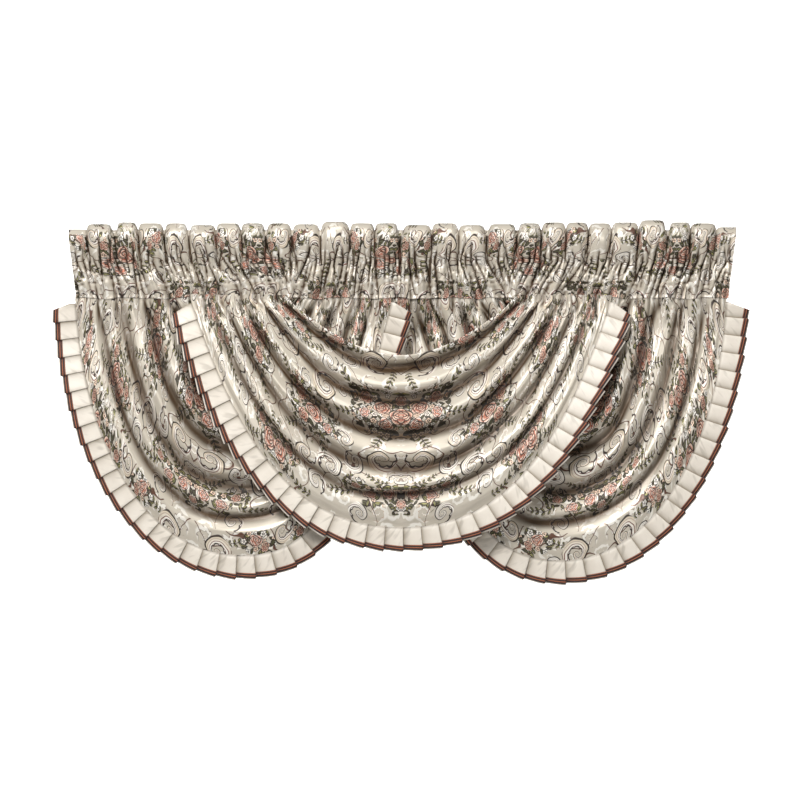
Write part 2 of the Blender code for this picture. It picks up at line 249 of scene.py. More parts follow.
def swag_surface(swag, s, t, fine=True):
    """Points of a swag's middle surface.

    s runs from -1 at the left of the seam, through 0 at the lowest line, to 1 at the right, and t from 0 at
    the neckline to 1 at the hem; t below 0 is the neckline's edge turned back. Each line of equal t is two
    cubic Bezier curves that meet at the centre line, and the folds stand out across them.
    """
    s, t = np.broadcast_arrays(np.asarray(s, float), np.asarray(t, float))
    inner = np.clip(t, 0.0, 1.0)
    share = 1.0 - np.abs(s)
    left = s < 0
    neck = np.where(left, swag["neck_left"], swag["neck_right"]) * MM
    hem = np.where(left, swag["hem_left"], swag["hem_right"]) * MM
    centre = swag["centre"] * MM
    side = np.where(left, 1.0, -1.0)
    hem_lean = np.where(left, swag["lean_left"], swag["lean_right"]) * MM
    attach = mix(neck, hem, inner)
    drop = mix(swag["neck_drop"], swag["hem_drop"], inner) * MM
    run = np.clip((share - LAP_SHARE) / (1.0 - LAP_SHARE), 0.0, 1.0)
    weights = ((1 - run) ** 3, 3 * run * (1 - run) ** 2, 3 * run**2 * (1 - run), run**3)
    control_x = (
        attach,
        attach + side * mix(NECK_LEAN, hem_lean, inner),
        centre - side * mix(NECK_ROUND, swag["round_out"] * MM, inner),
        centre,
    )
    control_drop = (0.0, mix(NECK_FALL, HEM_FALL, inner), drop, drop)
    x = sum(w * c for w, c in zip(weights, control_x))
    below = sum(w * c for w, c in zip(weights, control_drop))
    lap = LAP * (1.0 + 0.3 * ripple(x * 8.0, 28)) if fine else LAP
    below = below - lap * np.clip(1.0 - share / LAP_SHARE, 0.0, 1.0)

    growth = ease((share - LAP_SHARE) / GROWTH)
    depth = growth * mix(FOLD_DEPTH_TOP, FOLD_DEPTH_MIDDLE, ease(run))
    wander = inner
    if fine:
        sway = ripple(s * 1.1 + 1.5 * inner, 5) * ease(inner / 0.1) * ease((1 - inner) / 0.1)
        wander = np.clip(inner + FOLD_SWAY * sway, 0.0, 1.0)
    height = fold_height(wander)
    rolled = np.clip(-t, 0.0, 1.0)
    if fine:
        depth = depth * mix(1.0, FINE_DEPTH, ease((1.0 - inner) / 0.2))
    sag = mix(FINE_SAG, FOLD_SAG, ease((inner - 0.85) / 0.15)) if fine else FOLD_SAG
    below = below + growth * rolled * ROLL_DOWN + sag * depth * (height - 0.5) * (run > 0)
    detail = small_folds(swag, s, inner, run) * (1 - rolled) if fine else 0.0
    edge_calm = ease((1.0 - inner) / 0.05)
    if swag["layer"] > 0:
        out = LAP_OUT + depth * height + growth * ease(run) * mix(BELLY_NECK, BELLY_HEM, inner)
        out = out + detail * edge_calm
    else:
        behind = depth * (1.0 - height)
        out = -LAP_OUT - behind + np.minimum(detail * edge_calm, behind + 1.0 * MM)
    out = out - growth * rolled * ROLL_BACK
    if swag["name"] == "right":
        out = out - mix(PUSH_SEAM, PUSH_BACK, growth) * ease((PUSH_FROM - x) / (PUSH_FROM - PUSH_TO))
    if fine:
        out = out + seam_wave(x) * ease(1.0 - (share - LAP_SHARE) / GROWTH)
    out = out + lean(below)
    return np.stack([x, -out, -SEAM_DROP - below], axis=-1)


def sheet_lengths(points, middle):
    """Flat sizes of a sheet at each point: length along its row from the middle column, and length down the
    middle column, both measured on the cloth."""
    along = np.linalg.norm(np.diff(points, axis=1), axis=2)
    along = np.concatenate([np.zeros((len(points), 1)), np.cumsum(along, axis=1)], axis=1)
    along = along - along[:, middle : middle + 1]
    down = np.linalg.norm(np.diff(points[:, middle], axis=0), axis=1)
    down = np.concatenate([[0.0], np.cumsum(down)])
    return np.stack([along, np.broadcast_to(down[:, None], along.shape)], axis=-1)


def facing(points, outward):
    """Whether the grid's faces look along outward on the whole."""
    across = points[1:, 1:] - points[:-1, :-1]
    other = points[1:, :-1] - points[:-1, 1:]
    return np.dot(np.cross(across, other).sum(axis=(0, 1)), outward) > 0


def blurred(field, reach, axis):
    """The field averaged along an axis with weights exp(-(k / reach)^2), its border held."""
    count = field.shape[axis]
    steps = range(-2 * reach, 2 * reach + 1)
    weights = np.exp(-((np.array(steps) / reach) ** 2))
    total = 0.0
    for step, weight in zip(steps, weights / weights.sum()):
        total = total + weight * np.take(field, np.clip(np.arange(count) + step, 0, count - 1), axis=axis)
    return total


def painted_fold_shade(points, reaches):
    """The painted shade of each point, 0 to 1, from how deep it lies in a fold: how far the cloth around it,
    averaged over rows and columns, stands in front of it. Each reach is rows, columns, depth in metres, and
    its share."""
    out = -points[..., 1]
    total = 0.0
    for rows, columns, depth, share in reaches:
        around = blurred(blurred(out, rows, 0), columns, 1)
        total = total + share * np.clip((around - out) / depth, RIDGE_PAINTED_SHADE_CUT, 1.0)
    return np.clip(total, 0.0, 1.0)


def cloth_object(name, points, flat, shadow, thickness, materials):
    """A sheet of cloth from a grid of points and the flat place and painted shade of each, facing the room,
    made solid about its middle surface; the second material, if any, is on its back."""
    if not facing(points, (0, -1, 0)):
        points, flat, shadow = points[::-1], flat[::-1], shadow[::-1]
    rows, columns = points.shape[:2]
    index = np.arange(rows * columns).reshape(rows, columns)
    corners = [index[:-1, :-1], index[:-1, 1:], index[1:, 1:], index[1:, :-1]]
    quads = np.stack(corners, axis=-1).reshape(-1, 4)
    mesh = bpy.data.meshes.new(name)
    mesh.vertices.add(rows * columns)
    mesh.vertices.foreach_set("co", points.reshape(-1).astype(np.float32))
    mesh.loops.add(quads.size)
    mesh.loops.foreach_set("vertex_index", quads.reshape(-1).astype(np.int32))
    mesh.polygons.add(len(quads))
    mesh.polygons.foreach_set("loop_start", np.arange(0, quads.size, 4, dtype=np.int32))
    mesh.update(calc_edges=True)
    layer = mesh.uv_layers.new(name="Flat")
    layer.data.foreach_set("uv", flat.reshape(-1, 2)[quads.reshape(-1)].reshape(-1).astype(np.float32))
    # The painted shade of each point, which the materials multiply into the colour
    painted_shade = mesh.attributes.new("Hollow", "FLOAT", "POINT")
    painted_shade.data.foreach_set("value", np.ascontiguousarray(shadow).reshape(-1).astype(np.float32))
    mesh.validate()
    mesh.shade_smooth()
    obj = bpy.data.objects.new(name, mesh)
    bpy.context.scene.collection.objects.link(obj)
    for material in materials:
        mesh.materials.append(material)
    solid = obj.modifiers.new("Thickness", "SOLIDIFY")
    solid.thickness = thickness
    solid.offset = 0.0
    if len(materials) > 1:
        solid.material_offset = 1
    return obj


# The heading's shape

HEADING_COLUMNS, HEADING_FRONT_ROWS, HEADING_BACK_ROWS = 860, 42, 14
HEADING_FRONT_ROW = 26  # the row along which the flat length is measured
PROFILE_STEP = 40  # columns from one measured profile to the next
STITCH_DROP = 96 * MM
FLAP_FULLNESS = 0.5  # the flat flaps at the heading's two ends, against 1 for a puff
NOTCH_SIDE = 2.0  # millimetres by which a puff's crown is wider than the table says
PUFF_GAP = 0.8  # millimetres between each of two puffs and their valley
PUFF_SPREAD = (3 * MM, 18 * MM)  # the drop from which a puff spreads, and over which it meets the next
PUFF_POWERS, PUFF_ROOTS, PUFF_STRENGTHS = (2.6, 3.8), (0.62, 0.85), (0.9, 1.15)
PUFF_FULLER = 1.08  # a drawn puff's height against the table's
# Creases of the heading in millimetres: pitch, then the least and the most reach up and down, depth and
# width. The spreads of their slants below and above the stitch line, and of their bend, are for each metre.
CREASE_SETS = [
    (14.0, (25, 76), (60, 130), (6.0, 12.0), (2.6, 4.4)),
    (6.5, (6, 36), (20, 80), (2.5, 6.0), (1.9, 2.8)),
]
CREASE_FROM, CREASE_TO = -0.77, 0.775
CREASE_SHIFT = 0.45  # how far a crease strays from its pitch
CREASE_SLANT, CREASE_SLANT_UP, CREASE_BEND = 0.14, 0.12, 1.4
CREASE_DEEPEST = (-8, 10)  # where it is deepest, in millimetres below the stitch line
HIDDEN_SHARE = 1.1  # cloth hidden in a crease against its depth
GATHERED = 1.22  # the heading's flat length against its length on the face
SEAM_SWAY = 3.0 * MM  # how far the gathered seam wanders up and down
TUCKED, TUCK_WIDTH = 18 * MM, 5 * MM  # cloth hidden in the valley between two puffs, and its width
PUFF_FOLDS, BAND_FOLDS, HEADING_SWAY = 1.8 * MM, 2.6 * MM, 2.2 * MM  # heights of slow unevenness
CREASE_FLOOR = (10.6, -1.5)  # millimetres to the room that a crease can reach, in the pocket and the band
# How much painted shade each depth of fold puts on the heading: reach in rows and columns, depth in metres,
# and share
HEADING_PAINTED_SHADE = [(1, 2, 1.6 * MM, 0.95), (2, 8, 6.0 * MM, 0.40)]


def smooth_table(values, w):
    """A cubic curve through a table's values, at places w counted in rows, that leaves each value along the
    line between its two neighbours."""
    values = np.asarray(values, float)
    padded = np.concatenate([[2 * values[0] - values[1]], values, [2 * values[-1] - values[-2]]])
    i = np.clip(np.floor(w).astype(int), 0, len(values) - 2)
    f = w - i
    a, b, c, d = (padded[i + k] for k in range(4))
    return b + 0.5 * f * (c - a + f * (2 * a - 5 * b + 4 * c - d + f * (3 * (b - c) + d - a)))


def puff_shape(along, drop):
    """Fullness of the heading at each place, and the drop of its crown there. A puff is (1 - |2w - 1|^p)^q
    across; at the crown it is as wide as the table says, and lower down it meets its neighbours."""
    puffs = rows_of(PUFF_COLUMNS, PUFFS)
    rng = np.random.default_rng(4)
    full = np.zeros(np.broadcast(along, drop).shape)
    crown = np.full(along.shape, VALLEY_DROP)
    wide = ease((drop - PUFF_SPREAD[0]) / PUFF_SPREAD[1])
    lefts = [puff["left"] for puff in puffs]
    rights = [puff["right"] for puff in puffs]
    meets = [(right + left) / 2 for right, left in zip(rights, lefts[1:])]
    for k, puff in enumerate(puffs):
        left = mix(lefts[k], ([lefts[0]] + meets)[k] + PUFF_GAP, wide)
        right = mix(rights[k], (meets + [rights[-1]])[k] - PUFF_GAP, wide)
        w = (along / MM - left) / (right - left)
        w_crown = (along / MM - lefts[k] + NOTCH_SIDE) / (rights[k] - lefts[k] + 2 * NOTCH_SIDE)
        if k == 0:
            w, w_crown = np.maximum(w, 0.5), np.maximum(w_crown, 0.5)
        if k == len(puffs) - 1:
            w, w_crown = np.minimum(w, 0.5), np.minimum(w_crown, 0.5)
        power, root = rng.uniform(*PUFF_POWERS), rng.uniform(*PUFF_ROOTS)
        strength = FLAP_FULLNESS if k in (0, len(puffs) - 1) else rng.uniform(*PUFF_STRENGTHS)
        full = np.maximum(full, np.clip(1 - np.abs(2 * w - 1) ** power, 0, 1) ** root * strength)
        bump = np.clip(1 - np.abs(2 * w_crown - 1) ** (2 * power), 0, 1)
        crown = np.minimum(crown, mix(VALLEY_DROP, puff["drop"] * MM, bump**0.6))
    return full, crown


def gather_creases(along, drop):
    """Depth of the heading's creases, and the cloth hidden in them up to each place: grooves
    exp(-((x - line) / width)^2) whose lines slant and bend and that die out above and below the stitch line;
    first the deep ones and then the fine ones between."""
    rng = np.random.default_rng(11)
    total = np.zeros(np.broadcast(along, drop).shape)
    hidden = np.zeros(total.shape)
    below = drop - STITCH_DROP
    for pitch, ups, downs, depths, widths in CREASE_SETS:
        for place in np.arange(CREASE_FROM, CREASE_TO, pitch * MM):
            start = place + rng.uniform(-CREASE_SHIFT, CREASE_SHIFT) * pitch * MM
            slant = rng.normal(0.0, CREASE_SLANT) + band_slant(start)
            slant_up = rng.normal(0.0, CREASE_SLANT_UP)
            bend = rng.normal(0.0, CREASE_BEND)
            up, down = rng.uniform(*ups) * MM, rng.uniform(*downs) * MM
            depth, width = rng.uniform(*depths) * MM, rng.uniform(*widths) * MM
            middle = rng.uniform(*CREASE_DEEPEST) * MM
            line = start + np.where(below > 0, slant, slant_up) * below + bend * below**2
            away = below - middle
            fade = np.where(away < 0, ease(1 + away / up), ease(1 - away / down))
            total = total + depth * fade * np.exp(-(((along - line) / width) ** 2))
            hidden = hidden + HIDDEN_SHARE * depth * fade * ease((along - line) / (1.3 * width) + 0.5)
    reach = (along - along[..., :1]) / (along[..., -1:] - along[..., :1])
    return total, hidden - hidden[..., -1:] * reach


SLANT_X = np.array([-0.78, -0.60, -0.44, -0.30, -0.262, -0.22, -0.12, 0.0])
SLANTS = np.array([0.10, 0.28, 0.38, 0.42, 0.0, -0.38, -0.22, 0.0])


def band_slant(x):
    """How far sideways the band's folds run for each metre down, towards the middle of the swag below."""
    return -np.sign(x) * np.interp(-np.abs(x), SLANT_X, SLANTS)


def tucked_cloth(x):
    """Length of cloth hidden in the valleys up to each x."""
    puffs = rows_of(PUFF_COLUMNS, PUFFS)
    valleys = [(puff["right"] + following["left"]) / 2 * MM for puff, following in zip(puffs, puffs[1:])]
    return sum(TUCKED * ease((x - valley) / TUCK_WIDTH + 0.5) for valley in valleys)


def heading_surface():
    """Points of the heading, the section's curve carried along with its puffs and creases added towards the
    room, and the length of cloth that the creases hide up to each."""
    along = np.linspace(PUFFS[0][0] * MM, PUFFS[-1][1] * MM, HEADING_COLUMNS)[None, :]
    section = rows_of(SECTION_COLUMNS, SECTION)
    front_rows = np.linspace(0, CROWN_ROW, HEADING_FRONT_ROWS, endpoint=False)
    w = np.concatenate([front_rows, np.linspace(CROWN_ROW, len(section) - 1, HEADING_BACK_ROWS)])[:, None]
    columns = {key: smooth_table([row[key] for row in section], w) for key in SECTION_COLUMNS}
    is_front = w < CROWN_ROW
    full, crown = puff_shape(along, columns["drop"] * MM)
    drop = columns["drop"] * MM + np.clip(columns["crown"], 0, 1) * crown
    folds_in_puffs = ripple(along * 21.0 + 0.5 * ripple(drop * 5.0, 25), 26) * full * ease(drop / (50 * MM))
    front = (columns["front"] + columns["puff"] * full * PUFF_FULLER) * MM
    front = front + np.where(is_front, PUFF_FOLDS * folds_in_puffs, 0.0)
    band = ease((drop - 80 * MM) / (30 * MM)) * ease((SEAM_DROP - 4 * MM - drop) / (46 * MM))
    folds = BAND_FOLDS * ripple(along * 13.0 + 0.9 * ripple(drop * 9.0, 23), 24)
    front = front + np.where(is_front, band * folds, 0.0)
    free = ease(drop / (60 * MM)) * ease((SEAM_DROP - drop) / (60 * MM))
    narrowed = along + HEADING_SWAY * ripple(along * 4.0, 21) * free
    narrowed = narrowed * (1.0 - HEADING_TAPER * drop / SEAM_DROP)
    creases, hidden = gather_creases(along, drop)
    creases = creases * ease((SEAM_DROP - 3 * MM - drop) / (8 * MM)) * is_front
    low = mix(*CREASE_FLOOR, ease((drop - 78 * MM) / (30 * MM))) * MM
    front = np.where(is_front, np.maximum(front - creases, np.minimum(front, low)), front)
    meets_seam = narrowed - band_slant(narrowed) * (drop - SEAM_DROP)
    front = front + ease((drop - 98 * MM) / (46 * MM)) * is_front * seam_wave(meets_seam)
    hang = drop + SEAM_SWAY * ripple(along * 8.0, 28) * ease((drop - 130 * MM) / (50 * MM))
    return np.stack([np.broadcast_to(narrowed, drop.shape), -front, -hang], axis=-1), hidden


# The frills' and braids' shape

FRILL_ROWS, BRAID_ROWS = 13, 5
TUCKED_ROW = -3 * MM  # where the frill's sewn edge lies, against the hem
NOSE = 1.2 * MM  # radius of a pleat's folded end
NOSE_TURNS = (45, 90, 135, 180)
UNDER = 8 * MM  # how far a pleat's cloth goes back under the one before
RISE_SEWN, RISE_FREE, RISE_SIDE = 3.2 * MM, 6.0 * MM, 11.0 * MM
BRAID_LIFT = 0.85 * MM
TUCK = 3.2 * MM  # how far behind the hem the frill's sewn edge lies
PANEL_STATIONS = 9
PLEAT_SHADE = 7 * MM  # how far the painted shade of one pleat reaches on the next
UNDER_SHADE = 0.35  # the painted shade on the cloth that lies under a pleat
PLEAT_VARIES = (0.86, 1.14)  # the least and the most of a pleat's rise and jut against the usual
SIDE_JUT = 11 * MM  # the same as PLEAT_JUT, at the front swag's sides


def frill_base(swag):
    """The hem of a swag as a function of the place in pleats, and the number of pleats: the hem's length
    between its two ends is divided evenly."""
    s = np.linspace(-1.0, 1.0, HEM_SAMPLES)
    hem = swag_surface(swag, s, 1.0, fine=False)
    steps = np.diff(hem[:, [0, 2]], axis=0)
    arcs = np.concatenate([[0.0], np.cumsum(np.hypot(steps[:, 0], steps[:, 1]))])
    start, end = LAP + FRILL_START, arcs[-1] - LAP - FRILL_START
    count = 2 * round((end - start) / PLEAT_PITCH / 2)
    tangent = np.gradient(hem[:, [0, 2]], axis=0)
    tangent /= np.linalg.norm(tangent, axis=1)[:, None]
    outward = np.stack([tangent[:, 1], np.zeros(len(hem)), -tangent[:, 0]], axis=-1)

    def at(number):
        """The place on the hem and the way out from it, at a number of pleats from the hem's start."""
        arc = start + number * (end - start) / count
        place = np.stack([np.interp(arc, arcs, hem[:, k]) for k in range(3)], axis=-1)
        out = np.stack([np.interp(arc, arcs, outward[:, k]) for k in range(3)], axis=-1)
        return place, out

    return at, count, (end - start) / count


def pleat_rise(share):
    """Height along a pleat's face as a share of its full height: a ramp with a slight bow."""
    return share + 0.10 * np.sin(np.pi * share)


def frill_path(pitch):
    """One pleat's path: place along the hem from the pleat's start, share of the full rise, and share of
    the jut."""
    end = pitch + PLEAT_OVERLAP
    share = np.linspace(0.0, 1.0, PANEL_STATIONS)
    panel = np.stack([mix(-UNDER, end, share), pleat_rise(share), share])
    turn = np.radians(NOSE_TURNS)
    nose = np.stack([end + NOSE * np.sin(turn), 0.75 + 0.25 * np.cos(turn), np.ones(len(turn))])
    back = np.stack([end - np.array([4, 8]) * MM, np.array([0.33, 0.12]), np.array([0.75, 0.35])])
    return np.concatenate([panel, nose, back], axis=1)


def braid_path(pitch):
    """The braid's path on one pleat: along its face, round its folded end and down to the next one."""
    end = pitch + PLEAT_OVERLAP
    first = (PLEAT_OVERLAP + 2.6 * MM + UNDER) / (end + UNDER)
    share = np.linspace(first, 1.0, PANEL_STATIONS)
    panel = np.stack([mix(-UNDER, end, share), pleat_rise(share), share, np.ones(len(share))])
    nose = np.stack([end + np.array([1.35, 1.95]) * MM, [0.97, 0.72], [1.0, 1.0], [0.55, 0.1]])
    return np.concatenate([panel, nose], axis=1)


def strip_surface(swag, path, across):
    """Points of a strip pleated along a swag's hem, and the painted shade of each, darkest where it lies
    under the pleat before. Each pleat follows path; across is the distance out from the hem of each row; the
    rise goes towards the room."""
    at, count, pitch = frill_base(swag)
    rng = np.random.default_rng({"centre": 5, "left": 6, "right": 7}[swag["name"]])
    vary = rng.uniform(*PLEAT_VARIES, (2, count))
    along, rise, jut = path[0][None, :], path[1][None, :], path[2][None, :]
    lift = path[3][None, :] if len(path) > 3 else np.zeros((1, path.shape[1]))
    # Painted shade: darkest at each pleat's start, where the pleat before lies over it, and on the cloth
    # that goes back under it
    painted_pleat_shade = np.exp(-np.maximum(along - PLEAT_OVERLAP - NOSE, 0.0) / PLEAT_SHADE)
    painted_pleat_shade = painted_pleat_shade + UNDER_SHADE * (rise < 0.5) * (jut > rise)
    k = np.arange(count)[:, None]
    number = (k + along / pitch).reshape(-1)
    rise = (rise * vary[0][:, None]).reshape(-1)
    jut = (jut * vary[1][:, None]).reshape(-1)
    lift = np.broadcast_to(lift, (count, lift.shape[1])).reshape(-1)
    painted_pleat_shade = np.broadcast_to(painted_pleat_shade, (count, painted_pleat_shade.shape[1])).reshape(-1)
    keep = (number >= 0.0) & (number <= count)
    number, rise, jut, lift, painted_pleat_shade = number[keep], rise[keep], jut[keep], lift[keep], painted_pleat_shade[keep]
    share = (np.maximum(across, 0.0) / FRILL_WIDTH)[:, None]
    under = TUCK * ease(1.0 - (across[:, None] - TUCKED_ROW) / (7 * MM))
    slant = END_SLANT * share
    number = np.clip(number[None, :], slant, count - slant)
    place, out = at(number)
    side = out[..., 0] ** 2 if swag["layer"] > 0 else np.zeros(out.shape[:-1])
    drop_base = -place[..., 2] - SEAM_DROP
    sidewise = side * ease(drop_base / FLARE_FALL)
    full_rise = mix(RISE_SEWN, mix(RISE_FREE, RISE_SIDE, sidewise), share)
    reach = across[:, None] + share * jut[None, :] * mix(PLEAT_JUT, SIDE_JUT, sidewise)
    points = place + out * reach[..., None]
    drop = -points[..., 2] - SEAM_DROP
    forward = rise * full_rise + lift * BRAID_LIFT + FLARE * sidewise * share + lean(drop) - lean(drop_base)
    points[..., 1] -= forward - under
    return points, np.broadcast_to(np.clip(painted_pleat_shade, 0.0, 1.0)[None, :], points.shape[:2])


def strip_lengths(points, across):
    """Flat sizes of a pleated strip: length along its middle row, and the distance across."""
    middle = points[len(points) // 2]
    along = np.concatenate([[0.0], np.cumsum(np.linalg.norm(np.diff(middle, axis=0), axis=1))])
    return np.stack(np.broadcast_arrays(along[None, :], across[:, None]), axis=-1)


# Materials: a small language for shader nodes

class Value:
    """A number on its way through a material. Arithmetic on it adds Math nodes."""

    def __init__(self, dye, socket):
        self.dye = dye
        self.socket = socket

    def math(self, operation, *others):
        return self.dye.math(operation, self, *others)

    def __add__(self, other):
        return self.math("ADD", other)

    def __radd__(self, other):
        return self.math("ADD", other)

    def __mul__(self, other):
        return self.math("MULTIPLY", other)

    def __rmul__(self, other):
        return self.math("MULTIPLY", other)

    def __sub__(self, other):
        return self.math("SUBTRACT", other)

    def __rsub__(self, other):
        return self.dye.math("SUBTRACT", other, self)

    def __truediv__(self, other):
        return self.math("DIVIDE", other)

    def __rtruediv__(self, other):
        return self.dye.math("DIVIDE", other, self)

    def __neg__(self):
        return self.math("MULTIPLY", -1.0)

    def __abs__(self):
        return self.math("ABSOLUTE")

    def sin(self):
        return self.math("SINE")

    def cos(self):
        return self.math("COSINE")

    def root(self):
        return self.math("SQRT")

    def floor(self):
        return self.math("FLOOR")

    def fract(self):
        return self.math("FRACT")

    def least(self, other):
        return self.math("MINIMUM", other)

    def most(self, other):
        return self.math("MAXIMUM", other)

    def smooth(self, first, last, to_first=0.0, to_last=1.0):
        """A smooth step from to_first at first to to_last at last; first may be the greater."""
        if first > last:
            first, last, to_first, to_last = last, first, to_last, to_first
        inputs = {"Value": self, "From Min": first, "From Max": last, "To Min": to_first, "To Max": to_last}
        node = self.dye.node("ShaderNodeMapRange", {"interpolation_type": "SMOOTHSTEP"}, inputs)
        return Value(self.dye, node.outputs["Result"])


class Dye:
    """One material's node tree, and the few ways in which this file adds nodes to it."""

    def __init__(self, name):
        self.material = bpy.data.materials.new(name)
        self.material.use_nodes = True
        self.tree = self.material.node_tree
        self.shader = self.tree.nodes["Principled BSDF"]

    def node(self, kind, settings=None, inputs=None):
        """A node of that kind, its settings made first, then its sockets set or linked."""
        node = self.tree.nodes.new(kind)
        for key, setting in (settings or {}).items():
            setattr(node, key, setting)
        for key, given in (inputs or {}).items():
            self.feed(node.inputs[key], given)
        return node

    def feed(self, socket, given):
        """Links a Value or a socket to the socket, or sets its value."""
        if isinstance(given, Value):
            given = given.socket
        if isinstance(given, bpy.types.NodeSocket):
            self.tree.links.new(given, socket)
        else:
            socket.default_value = given

    def math(self, operation, *numbers):
        """The Value that a Math node gives for the numbers."""
        node = self.node("ShaderNodeMath", {"operation": operation}, dict(enumerate(numbers)))
        return Value(self, node.outputs[0])

    def flat_place(self):
        """The piece's place on the flat cloth, in metres, along and down."""
        node = self.node("ShaderNodeUVMap", {"uv_map": "Flat"})
        return self.parts_of(node.outputs["UV"])[:2]

    def parts_of(self, vector):
        """The three parts of a vector as Values."""
        node = self.node("ShaderNodeSeparateXYZ", None, {0: vector})
        return [Value(self, socket) for socket in node.outputs]

    def vector(self, x, y, z=0.0):
        """The socket of a vector made from three numbers or Values."""
        return self.node("ShaderNodeCombineXYZ", None, {0: x, 1: y, 2: z}).outputs[0]

    def vector_math(self, operation, *vectors):
        """The number that a vector operation gives."""
        node = self.node("ShaderNodeVectorMath", {"operation": operation}, dict(enumerate(vectors)))
        return Value(self, node.outputs["Value"])

    def with_painted_shade(self, colour, tone):
        """The colour multiplied towards a tone as painted shade, as far as the piece's own painted fold
        shade goes.
        """
        painted_shade = self.node("ShaderNodeAttribute", {"attribute_name": "Hollow"}).outputs["Fac"]
        settings = {"data_type": "RGBA", "blend_type": "MULTIPLY"}
        return self.node("ShaderNodeMix", settings, {0: painted_shade, 6: colour, 7: tone}).outputs[2]

    def blend(self, share, a, b):
        """Colour a where share is 0 and b where it is 1."""
        node = self.node("ShaderNodeMix", {"data_type": "RGBA"}, {0: share, 6: a, 7: b})
        return node.outputs[2]

    def noise(self, vector, scale, detail=2.0, roughness=0.5):
        """Smooth noise at a place in a plane, about 0 to 1."""
        inputs = {"Vector": vector, "Scale": scale, "Detail": detail, "Roughness": roughness}
        node = self.node("ShaderNodeTexNoise", {"noise_dimensions": "2D"}, inputs)
        return Value(self, node.outputs[0])

    def cells(self, x, y, size, chance=0.85):
        """Scattered cells about size apart: place in the nearest cell, and three chances from 0 to 1."""
        inputs = {"Vector": self.vector(x, y), "Scale": 1.0 / size, "Randomness": chance}
        node = self.node("ShaderNodeTexVoronoi", {"voronoi_dimensions": "2D"}, inputs)
        centre_x, centre_y, _ = self.parts_of(node.outputs["Position"])
        chances = self.node("ShaderNodeSeparateColor", None, {0: node.outputs["Color"]})
        return x - centre_x, y - centre_y, [Value(self, chances.outputs[k]) for k in range(3)]

    def turned(self, x, y, angle):
        """The place (x, y) seen from axes turned by angle, a number or a Value."""
        if isinstance(angle, Value):
            c, s = angle.cos(), angle.sin()
        else:
            c, s = math.cos(angle), math.sin(angle)
        return x * c + y * s, y * c - x * s

    def polar(self, x, y):
        """The place's distance from the middle and its angle."""
        return (x * x + y * y).root(), y.math("ARCTAN2", x)

    def finish(self, colour, roughness, height=None, depth=0.3 * MM, **sockets):
        """Wires the colour, roughness and bump to the shader, and sets its constant sockets."""
        self.feed(self.shader.inputs["Base Color"], colour)
        self.feed(self.shader.inputs["Roughness"], roughness)
        for name, setting in sockets.items():
            self.shader.inputs[name.replace("_", " ")].default_value = setting
        if height is not None:
            bump = self.node("ShaderNodeBump", None, {"Height": height, "Distance": depth, "Strength": 1.0})
            self.feed(self.shader.inputs["Normal"], bump.outputs[0])
        return self.material


def shade(red, green, blue):
    """A linear colour from its values on a screen, 0 to 255."""
    values = (red, green, blue)
    linear = [((c / 255 + 0.055) / 1.055) ** 2.4 if c > 10 else c / 255 / 12.92 for c in values]
    return (*linear, 1.0)


# The woven pattern: half of a mirrored repeat, in metres on the flat cloth
HALF_REPEAT, REPEAT_DOWN = 0.335, 0.52
LINE = 1.05 * MM  # half the width of a woven outline
TURN = 6.28  # a whole turn, for chances
TINT_SCALE = 0.01  # how a motif's shade is carried beside its place
WANDER = 12 * MM  # how far the figure strays from its table, so that no line is ruled

GROUND, GROUND_LIGHT = shade(194, 184, 166), shade(214, 205, 190)
# Painted shade: the tone that the figured satin is multiplied towards in its folds
PAINTED_FOLD_SHADE = shade(98, 80, 62)
IVORY, SLUB = shade(240, 235, 225), shade(250, 244, 232)
WHITE = (1.0, 1.0, 1.0, 1.0)
OUTLINE = shade(36, 18, 10)
CORAL, CORAL_DEEP, BLUSH = shade(208, 120, 84), shade(152, 68, 46), shade(242, 212, 186)
OLIVE, SAGE, LIME = shade(72, 72, 40), shade(126, 126, 84), shade(166, 160, 98)
TAN, BROWN = shade(190, 150, 114), shade(92, 58, 42)
CREAM, RUST = shade(216, 198, 168), shade(112, 48, 36)
REVERSE_GROUND, REVERSE_LIGHT = shade(178, 166, 147), shade(196, 186, 168)
REVERSE_WARM, REVERSE_GREEN = shade(150, 128, 104), shade(146, 144, 118)
FRILL, FRILL_LIGHT = shade(214, 204, 190), shade(231, 223, 210)
# Painted shade in the frill's puckers, a painted shadow along its sewn edge under the hem, and the painted
# shade that it is multiplied towards under each pleat
PUCKER_PAINTED_SHADE, FRILL_HEM_SHADOW, FRILL_PAINTED_SHADE = shade(140, 130, 114), shade(110, 98, 82), shade(158, 150, 136)
BRAID_DARK, BRAID_BROWN = shade(32, 15, 10), shade(64, 31, 21)
# Braid cords, and the painted shade that the braid is multiplied towards under each pleat
CORD_RUST, CORD_LIGHT, BRAID_PAINTED_SHADE = shade(136, 66, 36), shade(202, 122, 78), shade(96, 84, 80)

# Roses: middle on the flat cloth and radius in millimetres, and a shade from 0, coral, to 1, blush
ROSES = [
    (0, 204, 25, 0.1), (43, 182, 21, 0.3), (37, 230, 18, 0.7), (80, 160, 17, 0.2), (84, 206, 15, 0.8),
    (0, 160, 13, 0.9), (216, 286, 25, 0.6), (257, 262, 17, 0.2), (248, 317, 16, 0.1), (178, 302, 14, 0.9),
    (28, 436, 15, 0.9), (70, 446, 14, 0.8), (106, 424, 12, 0.2), (0, 462, 11, 0.3),
    (302, 62, 23, 0.2), (266, 84, 15, 0.8), (328, 100, 14, 0.6), (262, 40, 12, 0.1),
    (316, 470, 20, 0.4), (284, 448, 13, 0.1), (150, 20, 14, 0.6), (172, 40, 11, 0.1),
]

